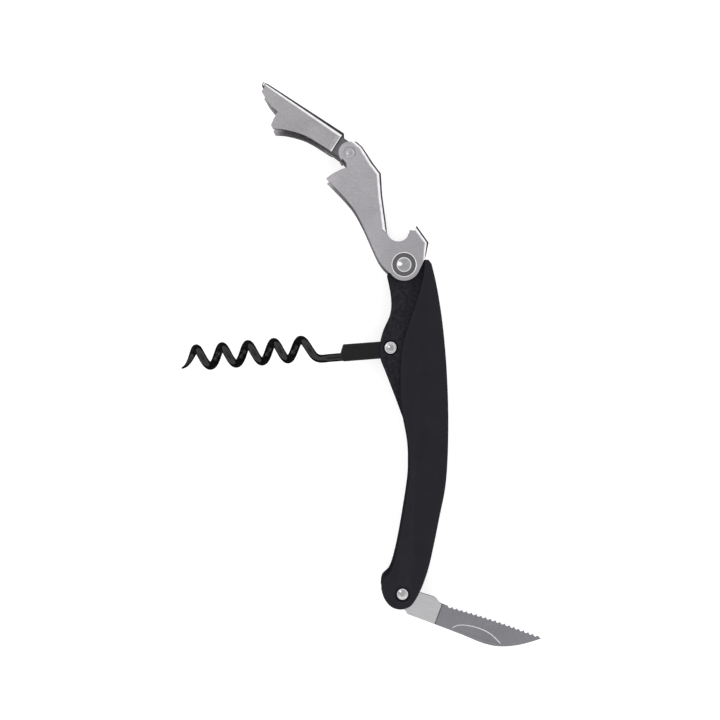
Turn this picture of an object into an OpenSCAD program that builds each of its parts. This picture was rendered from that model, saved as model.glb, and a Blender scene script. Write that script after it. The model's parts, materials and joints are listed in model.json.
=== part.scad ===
// Waiter's corkscrew: a folding knife-style tool with a two-stage lever, a worm and a foil knife.
// The tool lies on its side on the XY plane. Its thickness runs along +Z, and every pivot is
// parallel to Z. The origin is the middle of the tool's footprint, on the surface it lies on.

/* [Thickness] */
// Thickness over the two scales, and over the lever cheeks
tool_t = 14; // [13.8:0.1:15]
// Sheet thickness of the main lever and the boot lever
sheet_t = 1.2; // [1.0:0.05:1.4]
// Space between a lever cheek and the liner beside it
side_gap = 0.4; // [0.35:0.05:0.5]
// Thickness of each liner plate
liner_t = 0.8; // [0.6:0.1:0.9]

/* [Pivots] */
// Place of the main lever's pivot
lever_pivot = [13.9, 31.1];
// Place of the worm's pivot
worm_pivot = [9.7, 4.9];
// Place of the knife's pivot
knife_pivot = [13.4, -72.9];
// Direction of the main lever, from its pivot to its hinge, in degrees
lever_angle = 116; // [116:1:150]
// Direction of the boot lever, from the hinge to its tip, in degrees
boot_angle = 147; // [100:1:147]
// Direction of the worm, from its pivot to its point, in degrees
worm_angle = 184.7; // [184:0.1:250]
// Direction of the knife, from its pivot to its point, in degrees
knife_angle = -17.6; // [-90:0.1:60]
// Radial room round a rivet that a piece turns on
turn_gap = 0.05; // [0.02:0.01:0.10]
// Radial room round a rivet in a piece that it holds still
press_gap = 0.01; // [0.005:0.005:0.015]

/* [Rivets] */
// Radius of the lever rivet's shank
lever_rivet_r = 1.8; // [1.5:0.1:1.9]
// Radius of the lever rivet's domed head
lever_head_r = 2.4; // [2.2:0.1:2.6]
// Radius of the round recess in the lever cheek, round the rivet's head
lever_dish_r = 3.6; // [3.3:0.1:3.8]
// Radius of the shanks of the worm rivet and the knife rivet
small_rivet_r = 1.4; // [1.2:0.1:1.5]
// Radius of the worm rivet's domed head
worm_head_r = 2.0; // [1.8:0.1:2.1]
// Radius of the recess in the liner round the worm rivet's head
worm_dish_r = 2.4; // [2.3:0.1:2.6]
// Radius of the knife rivet's domed head
knife_head_r = 1.9; // [1.8:0.1:2.0]
// Radius of the recess in the scale round the knife rivet's head
knife_dish_r = 2.5; // [2.3:0.1:2.7]
// Radius of the hinge pin's shank, between the two levers
hinge_pin_r = 1.5; // [1.3:0.1:1.6]
// Radius of the hinge pin's flush heads
hinge_head_r = 1.9; // [1.8:0.1:2.1]

/* [Main lever] */
// Distance from the lever's pivot to its hinge
lever_l = 39.2; // [39:0.1:39.6]
// Radius of the lever's round end, about its pivot
lever_end_r = 5.1; // [5.0:0.1:5.3]
// Radius of the lever's ears, about the hinge
hinge_ear_r = 3.5; // [3.3:0.1:3.7]
// Radius of the bottle-cap notch
notch_r = 3.6; // [3.4:0.1:3.7]

/* [Worm] */
// Diameter of the worm's wire
wire_d = 2.6; // [2.3:0.1:2.8]
// Outer diameter of the worm's turns
worm_d = 8.6; // [8.2:0.1:8.7]
// Distance between turns
worm_pitch = 8.3; // [8.2:0.05:8.4]
// Number of turns, down to the point
worm_turns = 4.97; // [4.9:0.01:5.1]
// How much longer the turn next to the tang is
first_turn_extra = 1.4; // [1.2:0.1:1.6]
// Thickness of the worm's flat tang
tang_t = 3.0; // [2.7:0.1:3.2]

/* [Knife] */
// Thickness of the blade
blade_t = 1.2; // [1.0:0.1:1.5]
// Number of teeth along the cutting edge
tooth_count = 19; // [16:1:21]
// Depth of the teeth
tooth_depth = 0.65; // [0.4:0.05:0.8]

/* [Hidden] */
$fn = 64;
curve_steps = 5;
half_t = tool_t / 2;
lever_in = half_t - sheet_t;
liner_out = lever_in - side_gap;
liner_in = liner_out - liner_t;
washer_gap = 0.05;
head_room = 0.05;
// Height of a head's underside above the middle of the tool
lever_seat = lever_in + sheet_t / 2;
hinge_head_t = 0.5;
hinge_head_z = half_t - hinge_head_t;
knife_seat_deep = 0.7;
knife_seat = half_t - knife_seat_deep;
worm_seat = liner_in + liner_t / 2;
tongue_out = lever_in - side_gap;
tongue_in = tongue_out - sheet_t;
big = 200;

// ---- Curves ----

// Points on an arc from angle a0 to angle a1, in either direction
function arc(centre, r, a0, a1, steps = 12) =
    [for (i = [0:steps]) centre + r * [cos(a0 + (a1 - a0) * i / steps), sin(a0 + (a1 - a0) * i / steps)]];

// A smooth curve through all of its points
function curve(p, steps = curve_steps) = concat(
    [for (i = [0:len(p) - 2], j = [0:steps - 1])
        let (t = j / steps, a = p[max(i - 1, 0)], b = p[i], c = p[i + 1], d = p[min(i + 2, len(p) - 1)])
        b + ((c - a) * t + (2 * a - 5 * b + 4 * c - d) * t * t + (3 * b - a - 3 * c + d) * t * t * t) / 2],
    [p[len(p) - 1]]);

// Unit normal to the left of a polyline at point i
function left_normal(p, i) =
    let (d = p[min(i + 1, len(p) - 1)] - p[max(i - 1, 0)]) [-d[1], d[0]] / norm(d);

// A strip of thickness t on the left of a polyline
function strip(p, t) = concat(p,
    [for (i = [len(p) - 1:-1:0]) p[i] + t * left_normal(p, i)]);

// ---- Handle outlines ----

// Front edge of the neck, from the lever's pivot down to where it meets the grip
neck_front = curve([[8.7, 28.2], [10.0, 21.5], [9.8, 16.0], [7.5, 10.5], [6.4, 6.0], [6.5, 1.8],
                    [8.4, -3.3], [11.6, -11.6], [13.9, -17.9]]);
// Front edge of the grip, down to the bump beside the knife's pivot
grip_front = curve([[13.9, -17.9], [15.2, -25.0], [15.5, -31.5], [15.0, -39.0], [12.2, -55.9], [9.8, -65.2],
                    [7.2, -68.3], [6.7, -71.2]]);
// Round end about the knife's pivot
grip_end = curve([[6.7, -71.2], [7.6, -74.2], [9.8, -76.9], [12.9, -77.8], [16.0, -76.7], [18.2, -73.6]]);
// Back edge, from the round end up to the top corner
grip_back = curve([[18.2, -73.6], [20.2, -69.1], [22.2, -62.5], [25.0, -49.0], [27.2, -37.0], [27.9, -20.0],
                   [27.4, -2.6], [26.1, 12.3], [24.3, 24.0], [22.6, 31.4]]);
grip_top = [[21.7, 32.6], [20.4, 32.7]];
// Step between the neck and the thick grip, from the top corner down to the front edge
ridge = curve([[20.3, 32.2], [19.9, 27.2], [18.1, 20.5], [14.6, 10.0], [13.1, 3.4], [12.7, -5.8],
               [13.0, -13.0], [13.9, -17.9]]);

module scale_outline() polygon(concat(ridge, grip_front, grip_end, grip_back, grip_top));

liner_head_r = 4.7;
module liner_outline() polygon(concat(arc(lever_pivot, liner_head_r, 0, 195), neck_front, grip_front, grip_end,
                                      grip_back, grip_top));

// ---- Outlines in each piece's own axes, with its pivot at the origin ----

lever_spine_a = [[12.9, -0.2], [22.9, -3.5], [29.1, -6.1], [33.1, -5.3], [36.8, -4.85]];
lever_spine_b = [[-0.4, -7.5], [2.9, -10.1], [9.4, -9.0]];
notch_centre = [10.6, -3.1];
// The spine's sheet stops short of the notch, to clear the neck when the lever is shut
lever_web_a = concat([[14.3, -0.66]], [for (i = [1:len(lever_spine_a) - 1]) lever_spine_a[i]]);
lever_step = [[38.4, 2.75], [36.7, 2.4], [35.4, 2.8], [35.7, 4.9], [35.6, 8.0], [35.15, 10.2]];

module lever_outline() polygon(concat(
    arc([0, 0], lever_end_r, 98, 217), [[-2.4, -5.2]], lever_spine_b, [[8.2, -7.6]],
    arc(notch_centre, notch_r, 205, 55), lever_spine_a, [[39.5, -4.5], [41.5, -3.6]],
    arc([lever_l, 0], hinge_ear_r, -25, 105), lever_step,
    curve([[35.15, 10.2], [24.4, 6.9], [16.5, 6.3], [4.8, 6.6], [-0.2, 5.4]])));

boot_start = 5.0;
boot_spine = [[boot_start, -4.4], [35.4, -4.4]];
boot_lip = [[33.8, -3.0], [33.8, -1.1], [30.6, 0.5], [28.3, 1.2], [26.0, 1.5], [25.9, 4.1], [25.5, 6.2],
            [24.4, 6.8]];

module boot_outline() polygon(concat([[boot_start, 2.8], [boot_start, -4.4], [34.2, -4.4]], boot_lip,
    curve([[24.4, 6.8], [20.5, 4.8], [14.2, 3.05], [boot_start, 2.8]])));

// The narrow tongue that fits between the main lever's ears
module tongue_outline() polygon(concat(arc([0, 0], 3.0, 90, 270), [[8.0, -3.2], [8.0, 2.5]]));

helix_v = -1.95;
helix_r = (worm_d - wire_d) / 2;
wire_v = 1.65;
tang_l = 16.0;
heel_r = 4.1;

module tang_outline() intersection() {
    polygon([[-4.5, -2.2], [15.0, -2.4], [tang_l, 0.3], [tang_l, wire_v + wire_d / 2 - 0.1],
             [tang_l - 1, 3.15], [-4.5, 3.2]]);
    union() {
        circle(heel_r);
        translate([0, -big / 2]) square(big);
    }
}

tooth_from = [15.4, -0.05];
tooth_to = [45.8, -0.5];
knife_tang_r = 3.4;
knife_spine = curve([[47.0, -1.1], [41.2, -4.9], [35.3, -7.35], [29.7, -8.0], [22.1, -7.4], [13.1, -6.9],
                     [3.8, -6.45]]);

module knife_outline() polygon(concat(
    arc([0, 0], knife_tang_r, 250, 65, 14),
    curve([[6.0, 1.35], [9.9, 1.4], [11.2, 1.05], [12.7, 0.1], tooth_from], 3),
    // Each tooth is a shallow scallop between two points
    [for (i = [0:tooth_count - 1], j = [1:4])
        let (t = (i + j / 4) / tooth_count)
        tooth_from + (tooth_to - tooth_from) * t + [0, 0.4 * sin(180 * t) - tooth_depth * sin(45 * j)]],
    knife_spine, [[3.3, -5.9]]));

// ---- Helpers in space ----

// Lifts a piece drawn about the tool's middle plane up to its place
module on_table() translate([0, 0, half_t]) children();

// Turns a piece from its own axes into its place in the tool
module at_pivot(p, angle) translate([p[0], p[1], 0]) rotate(angle) children();

module both_sides() {
    children();
    mirror([0, 0, 1]) children();
}

// Extrudes a 2D outline between two heights
module layer(z0, z1) translate([0, 0, z0]) linear_extrude(z1 - z0) children();

module hole(r) translate([0, 0, -big / 2]) cylinder(h = big, r = r);

// A recess of radius r, from height z0 outwards
module dish(r, z0) translate([0, 0, z0]) cylinder(h = big, r = r);

// A rivet with a shank and two domed heads that sit on height seat
module rivet(shank_r, head_r, seat, top) {
    rim = 0.15;
    rise = top - seat - rim;
    dome_r = (head_r * head_r + rise * rise) / (2 * rise);
    sweep = asin(head_r / dome_r);
    rotate_extrude() polygon(concat([[0, -seat], [shank_r, -seat], [shank_r, seat], [head_r, seat]],
        arc([0, seat + rim + rise - dome_r], dome_r, 90 - sweep, 90, 8)));
    mirror([0, 0, 1]) rotate_extrude() polygon(concat([[0, seat], [head_r, seat]],
        arc([0, seat + rim + rise - dome_r], dome_r, 90 - sweep, 90, 8)));
}

// A washer or tube between two heights
module ring(r_in, r_out, z0, z1) layer(z0, z1) difference() {
    circle(r_out);
    circle(r_in);
}

// ---- Handle ----

module scale_plate() difference() {
    layer(liner_out, half_t) scale_outline();
    translate(knife_pivot) {
        hole(small_rivet_r + press_gap);
        dish(knife_dish_r, knife_seat);
    }
}

module front_scale() color([0.12, 0.12, 0.13]) on_table() scale_plate();

module rear_scale() color([0.12, 0.12, 0.13]) on_table() mirror([0, 0, 1]) scale_plate();

core_pin_places = [[21.2, 19.0], [21.5, -16.0]];
core_pin_r = 1.5;

module liner_plate() difference() {
    layer(liner_in, liner_out) liner_outline();
    translate(lever_pivot) hole(lever_rivet_r + press_gap);
    translate(worm_pivot) {
        hole(small_rivet_r + press_gap);
        dish(worm_dish_r, worm_seat);
    }
    translate(knife_pivot) hole(small_rivet_r + press_gap);
    for (p = core_pin_places) translate(p) hole(core_pin_r + press_gap);
}

module front_liner() color([0.16, 0.16, 0.17]) on_table() liner_plate();

module rear_liner() color([0.16, 0.16, 0.17]) on_table() mirror([0, 0, 1]) liner_plate();

spring_line = [[14.9, 13.5], [14.8, 4.0], [15.2, -5.0], [16.6, -11.0], [18.6, -14.0]];
spring_t = 0.7;

// A leaf that bears on the worm's tang, so that the worm stays open or folded
module worm_spring() color("silver") on_table()
    layer(-liner_in + 0.3, liner_in - 0.3) polygon(strip(curve(spring_line, 3), -spring_t));

// Spacer between the liners, above the point of the folded knife
module handle_core() color([0.3, 0.3, 0.32]) on_table() difference() {
    layer(-liner_in, liner_in) polygon(curve([[18.2, 24.5], [16.4, 14.0], [16.3, 4.0], [16.2, -6.0],
        [16.3, -17.0], [18.2, -24.0], [23.5, -25.5], [26.6, -21.0], [26.2, -4.0], [24.8, 12.0],
        [22.6, 24.5], [18.2, 24.5]], 3));
    layer(-liner_in + 0.25, liner_in - 0.25)
        polygon(strip([for (q = concat(curve(spring_line, 3), [[19.0, -14.4]])) q + [0.1, 0.12]], -spring_t - 0.3));
    for (p = core_pin_places) translate(p) hole(core_pin_r + press_gap);
}

module core_pins() color("silver") on_table()
    for (p = core_pin_places) translate(p) layer(-liner_out, liner_out) circle(core_pin_r);

module lever_rivet() color("silver") on_table() translate(lever_pivot)
    rivet(lever_rivet_r, lever_head_r, lever_seat + head_room, half_t - 0.05);

module lever_spacer() color("dimgray") on_table() translate(lever_pivot)
    ring(lever_rivet_r + press_gap, 3.2, -liner_in, liner_in);

module lever_washers() color("gainsboro") on_table() translate(lever_pivot)
    both_sides() ring(lever_rivet_r + turn_gap, 3.4, liner_out + washer_gap, lever_in - washer_gap);

module worm_rivet() color("silver") on_table() translate(worm_pivot)
    rivet(small_rivet_r, worm_head_r, worm_seat, lever_in - 0.1);

module worm_spacers() color("dimgray") on_table() translate(worm_pivot)
    both_sides() ring(small_rivet_r + press_gap, 2.8, tang_t / 2 + washer_gap, liner_in);

module knife_rivet() color("silver") on_table() translate(knife_pivot)
    rivet(small_rivet_r, knife_head_r, knife_seat, half_t - 0.05);

module knife_spacers() color("dimgray") on_table() translate(knife_pivot)
    both_sides() ring(small_rivet_r + press_gap, 3.2, blade_t / 2 + washer_gap, liner_in);

// ---- Levers ----

hinge = lever_pivot + lever_l * [cos(lever_angle), sin(lever_angle)];

// Bent channel of sheet: two cheeks joined by a spine, with a bottle-cap notch and a lip step
module main_lever() color("silver") on_table() at_pivot(lever_pivot, lever_angle) difference() {
    union() {
        both_sides() layer(lever_in, half_t) lever_outline();
        layer(-half_t + 0.1, half_t - 0.1) polygon(strip(lever_web_a, sheet_t));
        layer(-half_t + 0.1, half_t - 0.1) polygon(strip(lever_spine_b, sheet_t));
    }
    hole(lever_rivet_r + turn_gap);
    both_sides() dish(lever_dish_r, lever_seat);
    translate([lever_l, 0]) {
        hole(hinge_pin_r + press_gap);
        both_sides() dish(hinge_head_r + press_gap, hinge_head_z);
    }
}

module hinge_pin() color("gainsboro") on_table() translate(hinge) {
    layer(-hinge_head_z, hinge_head_z) circle(hinge_pin_r);
    both_sides() layer(hinge_head_z, half_t) circle(hinge_head_r);
}

module hinge_washers() color("gainsboro") on_table() translate(hinge)
    both_sides() ring(hinge_pin_r + press_gap, 2.8, tongue_out + washer_gap, lever_in);

// Second stage of the lever, with a lip at its end and a tongue that turns on the hinge pin
module boot_lever() color("silver") on_table() at_pivot(hinge, boot_angle) difference() {
    union() {
        both_sides() {
            layer(lever_in, half_t) boot_outline();
            layer(tongue_in, tongue_out) tongue_outline();
            // The joggle, where the sheet steps in from the full width to the tongue
            layer(tongue_in, half_t) polygon([[6.2, -3.2], [8.0, -3.2], [8.0, 2.5], [6.2, 2.6]]);
        }
        layer(-half_t + 0.1, half_t - 0.1) polygon(strip(boot_spine, sheet_t));
    }
    hole(hinge_pin_r + turn_gap);
}

// ---- Worm ----

// Distance along the worm at turn t
helix_from = 23.2;
tip_extra = 1.2;
tip_turns = 0.4;
function along(t) = helix_from + worm_pitch * t + first_turn_extra * (1 - pow(max(0, 1 - t), 2))
    + tip_extra * pow(max(0, 1 - (worm_turns - t) / tip_turns), 2);

// Radius of the turns: a little wider at the start, where the wire leaves the straight part
function turn_r(t) = helix_r + (wire_v - helix_v - helix_r) * pow(max(0, 1 - t / 0.5), 2);

function helix_point(t) = [along(t), helix_v + turn_r(t) * cos(360 * t), turn_r(t) * sin(360 * t)];

// The wire bends out of the straight part into the first turn along one smooth curve
blend_t = 0.16;
leave_pull = 7;
meet_pull = 9;
steps_per_turn = 20;
straight_end = [19.6, wire_v, 0];
blend_end = helix_point(blend_t);
blend_dir = meet_pull * (helix_point(blend_t + 0.01) - blend_end) / norm(helix_point(blend_t + 0.01) - blend_end);
function bend(s) = let (q = 1 - s) q * q * (1 + 2 * s) * straight_end + s * q * q * [leave_pull, 0, 0]
    + s * s * (3 - 2 * s) * blend_end - s * s * q * blend_dir;

helix_steps = ceil((worm_turns - blend_t) * steps_per_turn);
wire_path = concat([[13.0, wire_v, 0], [16.5, wire_v, 0]], [for (i = [0:7]) bend(i / 8)],
    [for (i = [0:helix_steps]) helix_point(blend_t + (worm_turns - blend_t) * i / helix_steps)]);

// The wire's radius: full, then tapering to a point over the last turn
taper_turns = 0.5;
function wire_r(i) = let (left = (len(wire_path) - 1 - i) / steps_per_turn)
    wire_d / 2 * (left < taper_turns ? 0.22 + 0.78 * sin(90 * left / taper_turns) : 1);

wire_sides = 14;
function tangent(i) = let (d = wire_path[min(i + 1, len(wire_path) - 1)] - wire_path[max(i - 1, 0)]) d / norm(d);
// Side direction of a ring, square to the wire and to the line towards the worm's axis
function side_dir(i) = let (p = wire_path[i], d = cross(tangent(i), [0, p[1] - helix_v, p[2]])) d / norm(d);

module wire() {
    rings = len(wire_path);
    points = [for (i = [0:rings - 1], k = [0:wire_sides - 1])
        let (s = side_dir(i), u = cross(s, tangent(i)), a = 360 * k / wire_sides)
        wire_path[i] + wire_r(i) * (cos(a) * s + sin(a) * u)];
    walls = [for (i = [0:rings - 2], k = [0:wire_sides - 1])
        let (a = i * wire_sides, m = (k + 1) % wire_sides)
        each [[a + k, a + m, a + wire_sides + m], [a + k, a + wire_sides + m, a + wire_sides + k]]];
    first = [for (k = [wire_sides - 1:-1:0]) k];
    last = [for (k = [0:wire_sides - 1]) (rings - 1) * wire_sides + k];
    polyhedron(points, concat(walls, [first], [last]), convexity = 12);
}

module worm() color([0.1, 0.1, 0.1]) on_table() at_pivot(worm_pivot, worm_angle) {
    difference() {
        layer(-tang_t / 2, tang_t / 2) tang_outline();
        hole(small_rivet_r + turn_gap);
    }
    wire();
}

// ---- Knife ----

module knife_blade() color("darkgray") on_table() at_pivot(knife_pivot, knife_angle) difference() {
    layer(-blade_t / 2, blade_t / 2) knife_outline();
    hole(small_rivet_r + turn_gap);
}

front_scale();
rear_scale();
front_liner();
rear_liner();
handle_core();
core_pins();
worm_spring();
lever_rivet();
lever_spacer();
lever_washers();
worm_rivet();
worm_spacers();
knife_rivet();
knife_spacers();
main_lever();
hinge_pin();
hinge_washers();
boot_lever();
worm();
knife_blade();
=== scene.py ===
"""Looks of a folding waiter's corkscrew that lies open on its side.

Every piece is modelled in millimetres in its own axes, with its pivot at the origin and the
tool's middle plane at height zero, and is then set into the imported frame, in metres.
"""
import json
import logging
import math
from dataclasses import dataclass, field
from enum import Enum
from typing import Callable, Sequence

import bmesh
import bpy
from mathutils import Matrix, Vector

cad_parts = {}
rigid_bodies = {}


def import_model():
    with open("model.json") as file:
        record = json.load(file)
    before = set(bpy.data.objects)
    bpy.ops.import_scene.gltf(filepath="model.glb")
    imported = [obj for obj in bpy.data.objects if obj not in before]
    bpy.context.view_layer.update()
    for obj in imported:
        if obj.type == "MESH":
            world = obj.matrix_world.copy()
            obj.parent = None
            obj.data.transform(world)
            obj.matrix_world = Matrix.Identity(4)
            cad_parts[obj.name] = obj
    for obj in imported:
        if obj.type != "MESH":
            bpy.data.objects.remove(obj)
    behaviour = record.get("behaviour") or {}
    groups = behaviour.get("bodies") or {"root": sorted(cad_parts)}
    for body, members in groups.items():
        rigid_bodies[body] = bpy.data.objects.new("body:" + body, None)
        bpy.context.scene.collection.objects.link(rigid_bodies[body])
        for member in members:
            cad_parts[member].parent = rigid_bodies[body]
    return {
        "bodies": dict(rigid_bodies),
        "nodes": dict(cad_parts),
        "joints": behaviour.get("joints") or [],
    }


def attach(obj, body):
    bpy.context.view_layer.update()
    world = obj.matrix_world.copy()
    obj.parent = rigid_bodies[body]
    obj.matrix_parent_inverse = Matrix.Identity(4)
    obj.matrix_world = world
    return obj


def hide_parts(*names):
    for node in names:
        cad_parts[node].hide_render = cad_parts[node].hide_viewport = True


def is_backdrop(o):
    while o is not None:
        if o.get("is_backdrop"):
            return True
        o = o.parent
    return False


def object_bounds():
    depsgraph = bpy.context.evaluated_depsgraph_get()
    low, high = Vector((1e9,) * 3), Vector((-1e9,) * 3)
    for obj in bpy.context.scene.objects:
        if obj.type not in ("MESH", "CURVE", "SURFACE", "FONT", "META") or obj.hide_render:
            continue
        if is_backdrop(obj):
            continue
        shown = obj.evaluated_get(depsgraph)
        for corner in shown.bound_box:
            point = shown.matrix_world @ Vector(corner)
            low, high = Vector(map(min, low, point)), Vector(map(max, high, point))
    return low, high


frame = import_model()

Point = tuple[float, float]
Colour = tuple[float, float, float, float]
Object = bpy.types.Object
Material = bpy.types.Material
Socket = bpy.types.NodeSocket

# One mm in metres, and the distances, in mm, within which places count as one or as close
MM = 0.001
WELD = 1e-4
NEAR = 0.1
# How far a cutting tool reaches past what it cuts, in mm
PAST = 1.0
# Vertical share of a normal: of a sloped face, of a level one, and the limits of a bend's faces
SLOPED = 0.5
LEVEL = 0.9
BEND_LIMITS = (0.05, 0.999)
SMOOTH_ANGLE = math.radians(32)
EASE_ANGLE = math.radians(38)
# Sockets of a Mix node that mixes colours
MIX_BASE, MIX_OVER, MIX_RESULT = 6, 7, 2
LOG = logging.getLogger("corkscrew")


class Side(Enum):
    """The side of the middle plane that a plate lies on."""

    FRONT = 1
    REAR = -1


class Slot(Enum):
    """The record's material slots that the pieces take their finishes from."""

    SOFT_TOUCH = "scale_soft_touch"
    BLACK_STEEL = "black_steel"
    LEVER_STEEL = "brushed_lever"
    RIVET = "polished_rivet"
    BLADE = "blade_steel"
    WORM = "worm_coating"
    PLAIN_STEEL = "plain_steel"
    CORE = "core_plastic"


class Detail(Enum):
    """Surfaces that differ from the rest of their piece."""

    # Painted shade: dark steel laid in the main lever's dish, on the boot's tongue and in the knife's
    # relief groove
    RECESS = "recess"
    SATIN = "satin"
    GROUND = "ground"
    # Lighter, glossier steel on the levers' bends: the gloss is polish, the lighter colour a painted
    # highlight
    BEND = "bend"


# ---------------------------------------------------------------------------
# Curves
# ---------------------------------------------------------------------------

def arc(centre: Point, radius: float, start: float, end: float, steps: int = 16) -> list[Point]:
    """Points along an arc.

    Args:
        centre: Middle of the arc, in mm.
        radius: Radius, in mm.
        start: First angle, in degrees.
        end: Last angle, in degrees; a smaller one than the first turns clockwise.
        steps: Number of chords.

    Returns:
        The points, both ends included.
    """
    angles = [math.radians(start + (end - start) * i / steps) for i in range(steps + 1)]
    return [(centre[0] + radius * math.cos(a), centre[1] + radius * math.sin(a)) for a in angles]


def curve(knots: Sequence[Point], steps: int = 5) -> list[Point]:
    """A smooth curve through every knot.

    Args:
        knots: The points that the curve passes through.
        steps: Number of chords between two knots.

    Returns:
        The points, both ends included.
    """
    points: list[Point] = []
    last = len(knots) - 1
    for i in range(last):
        a, b = knots[max(i - 1, 0)], knots[i]
        c, d = knots[i + 1], knots[min(i + 2, last)]
        for j in range(steps):
            t = j / steps
            points.append(tuple(
                (2 * q + (r - p) * t + (2 * p - 5 * q + 4 * r - s) * t ** 2
                 + (3 * q - p - 3 * r + s) * t ** 3) / 2
                for p, q, r, s in zip(a, b, c, d)))
    points.append(tuple(knots[last]))
    return points


def inset(line: Sequence[Point], distance: float) -> list[Point]:
    """A copy of an open line, moved to its left.

    Args:
        line: The line's points.
        distance: How far each point moves, in mm.

    Returns:
        The moved points, in the same order.
    """
    moved: list[Point] = []
    for i, (x, y) in enumerate(line):
        before, after = line[max(i - 1, 0)], line[min(i + 1, len(line) - 1)]
        dx, dy = after[0] - before[0], after[1] - before[1]
        size = math.hypot(dx, dy)
        moved.append((x - dy / size * distance, y + dx / size * distance))
    return moved


def spread(points: Sequence[Point], least: float = 0.12) -> list[Point]:
    """A copy of an outline without points that nearly repeat the one before.

    Args:
        points: The outline's points.
        least: Shortest distance between two points, in mm.

    Returns:
        The points that stay.
    """
    kept: list[Point] = []
    for point in points:
        if not kept or math.dist(point, kept[-1]) >= least:
            kept.append(point)
    while math.dist(kept[0], kept[-1]) < least:
        kept.pop()
    return kept


# ---------------------------------------------------------------------------
# Work at the bench: the few operations that every piece is shaped with
# ---------------------------------------------------------------------------

def deselect() -> None:
    """Deselects every object."""
    bpy.ops.object.select_all(action="DESELECT")


def pick(piece: Object) -> None:
    """Selects one object alone and makes it the active one.

    Args:
        piece: The object.
    """
    deselect()
    piece.select_set(True)
    bpy.context.view_layer.objects.active = piece


def edit(mode: str = "VERT") -> None:
    """Enters edit mode with one kind of element to select."""
    bpy.ops.object.mode_set(mode="EDIT")
    bpy.ops.mesh.select_mode(type=mode)


def leave_edit() -> None:
    """Goes back to object mode."""
    bpy.ops.object.mode_set(mode="OBJECT")


def choose(kind: str, wanted: Callable[[Vector, Vector], bool]) -> None:
    """Selects elements of the mesh being edited, by place.

    Args:
        kind: "faces", "edges" or "verts".
        wanted: Test of an element. It takes a face's centre and normal, an edge's middle and
            direction, or a vertex's place and normal.
    """
    bpy.ops.mesh.select_mode(type={"faces": "FACE", "edges": "EDGE", "verts": "VERT"}[kind])
    bpy.ops.mesh.select_all(action="DESELECT")
    mesh = bmesh.from_edit_mesh(bpy.context.edit_object.data)
    mesh.normal_update()
    for item in getattr(mesh, kind):
        if kind == "faces":
            found = wanted(item.calc_center_median(), item.normal)
        elif kind == "edges":
            a, b = item.verts[0].co, item.verts[1].co
            found = wanted((a + b) / 2, (b - a).normalized())
        else:
            found = wanted(item.co, item.normal)
        if found:
            item.select_set(True)
    mesh.select_flush_mode()
    bmesh.update_edit_mesh(bpy.context.edit_object.data)


def trace(name: str, points: Sequence[Vector]) -> Object:
    """Draws a line by extruding one vertex from point to point, and leaves it in edit mode.

    Args:
        name: The new object's name.
        points: Where the line goes, in mm.

    Returns:
        The new object.
    """
    deselect()
    bpy.ops.mesh.primitive_plane_add(size=1, location=points[0])
    line = bpy.context.object
    line.name = name
    bpy.ops.object.transform_apply(location=True)
    edit("VERT")
    bpy.ops.mesh.select_all(action="SELECT")
    bpy.ops.mesh.merge(type="CENTER")
    for before, after in zip(points, points[1:]):
        bpy.ops.mesh.extrude_region_move(TRANSFORM_OT_translate={"value": after - before})
    return line


def close_up(weld: bool = False) -> None:
    """Points every face of the mesh being edited outwards, and leaves edit mode.

    Args:
        weld: Whether vertices in one place are merged first.
    """
    bpy.ops.mesh.select_all(action="SELECT")
    if weld:
        bpy.ops.mesh.remove_doubles(threshold=WELD)
    bpy.ops.mesh.normals_make_consistent(inside=False)
    leave_edit()


def slab(name: str, outline: Sequence[Vector], travel: Vector) -> Object:
    """A solid pulled straight out of a flat outline.

    Args:
        name: The new object's name.
        outline: The outline's corners, in mm.
        travel: How far and which way it is pulled, in mm.

    Returns:
        The solid, in object mode.
    """
    piece = trace(name, outline)
    bpy.ops.mesh.select_all(action="SELECT")
    bpy.ops.mesh.edge_face_add()
    bpy.ops.mesh.extrude_region_move(TRANSFORM_OT_translate={"value": travel})
    close_up()
    return piece


def plate(name: str, outline: Sequence[Point], low: float, high: float) -> Object:
    """A flat plate of any outline.

    Args:
        name: The new object's name.
        outline: The outline's corners, in mm.
        low: Height of the underside, in mm.
        high: Height of the top, in mm.

    Returns:
        The plate, in object mode.
    """
    return slab(name, [Vector((x, y, low)) for x, y in spread(outline)], Vector((0, 0, high - low)))


def turned(name: str, profile: Sequence[Point], steps: int = 72) -> Object:
    """A piece turned on a lathe about the Z axis.

    Args:
        name: The new object's name.
        profile: Radius and height pairs, in mm, from one end of the axis to the other.
        steps: Number of flats round the axis.

    Returns:
        The piece, in object mode.
    """
    piece = trace(name, [Vector((r, 0, z)) for r, z in profile])
    bpy.ops.mesh.select_all(action="SELECT")
    bpy.ops.mesh.spin(steps=steps, angle=math.tau, center=(0, 0, 0), axis=(0, 0, 1))
    close_up(weld=True)
    return piece


def near_line(place: Vector, line: Sequence[Point], reach: float = 0.02) -> bool:
    """Whether a place lies on an open line, as seen from above.

    Args:
        place: The place to test.
        line: The line's points, in mm.
        reach: How far off the line still counts, in mm.

    Returns:
        True if it does.
    """
    spot = Vector((place.x, place.y))
    for a, b in zip(line, line[1:]):
        start, run = Vector(a), Vector(b) - Vector(a)
        t = max(0.0, min(1.0, (spot - start).dot(run) / run.length_squared))
        if (spot - start - run * t).length < reach:
            return True
    return False


def round_edges(piece: Object, wanted: Callable[[Vector, Vector], bool],
                radius: float, segments: int) -> None:
    """Rounds the chosen edges of a piece.

    Args:
        piece: The piece.
        wanted: Test of an edge's middle and direction.
        radius: Radius of the round, in mm.
        segments: Number of flats in the round; 1 makes a chamfer.
    """
    pick(piece)
    edit("EDGE")
    choose("edges", wanted)
    bpy.ops.mesh.bevel(offset=radius, segments=segments, profile=0.5, affect="EDGES")
    leave_edit()


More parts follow.
